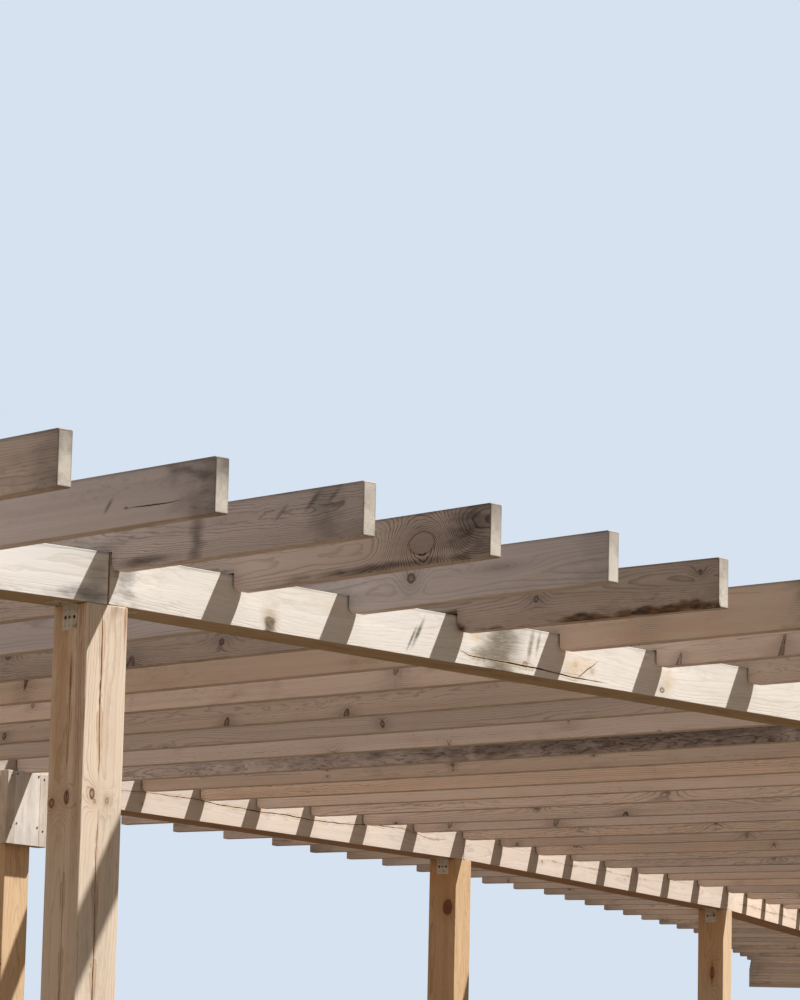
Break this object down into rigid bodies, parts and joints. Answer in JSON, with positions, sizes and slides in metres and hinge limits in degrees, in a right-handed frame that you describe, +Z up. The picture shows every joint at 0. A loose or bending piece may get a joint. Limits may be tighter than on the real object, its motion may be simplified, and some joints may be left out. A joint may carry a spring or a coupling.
{
  "type": "curved timber pergola with a notched rafter roof",
  "caption": "Curved open timber pergola: lines of square posts, straight beam lengths kinked over the posts, and fanned rafters notched over them.",
  "frame": {"origin": "on the ground under the middle of the outer box", "axes": "+X along the run, +Y towards the hollow (inner) side of the curve, +Z up"},
  "size_m": [26.0966, 8.5018, 3.23],
  "materials": {
    "post_timber": "planed softwood, warm tan, knots and long drying cracks",
    "beam_timber": "planed softwood bleached pale, grey water stains",
    "rafter_timber": "planed softwood, weathered grey-brown, dark mould patches and knots",
    "head_board_timber": "planed softwood boards, bleached pale",
    "bracket_steel": "galvanised, dull, with spots of rust"
  },
  "bodies": {
    "root": {"outer_post_1": "post_timber", "outer_post_2": "post_timber", "outer_post_3": "post_timber", "outer_post_4": "post_timber", "outer_post_5": "post_timber", "outer_post_6": "post_timber", "outer_post_7": "post_timber", "outer_post_8": "post_timber", "outer_beam_1": "beam_timber", "outer_beam_2": "beam_timber", "outer_beam_3": "beam_timber", "outer_beam_4": "beam_timber", "outer_beam_5": "beam_timber", "outer_beam_6": "beam_timber", "outer_beam_7": "beam_timber", "outer_brackets": "bracket_steel", "inner_post_1": "post_timber", "inner_post_2": "post_timber", "inner_post_3": "post_timber", "inner_post_4": "post_timber", "inner_post_5": "post_timber", "inner_post_6": "post_timber", "inner_post_7": "post_timber", "inner_post_8": "post_timber", "inner_beam_1": "beam_timber", "inner_beam_2": "beam_timber", "inner_beam_3": "beam_timber", "inner_beam_4": "beam_timber", "inner_beam_5": "beam_timber", "inner_beam_6": "beam_timber", "inner_beam_7": "beam_timber", "inner_brackets": "bracket_steel", "rafters_bay_1": "rafter_timber", "rafters_bay_2": "rafter_timber", "rafters_bay_3": "rafter_timber", "rafters_bay_4": "rafter_timber", "rafters_bay_5": "rafter_timber", "rafters_bay_6": "rafter_timber", "rafters_bay_7": "rafter_timber", "end_rafter": "rafter_timber", "head_board": "head_board_timber", "head_batten_left": "head_board_timber", "head_batten_right": "head_board_timber"}
  },
  "joints": []
}
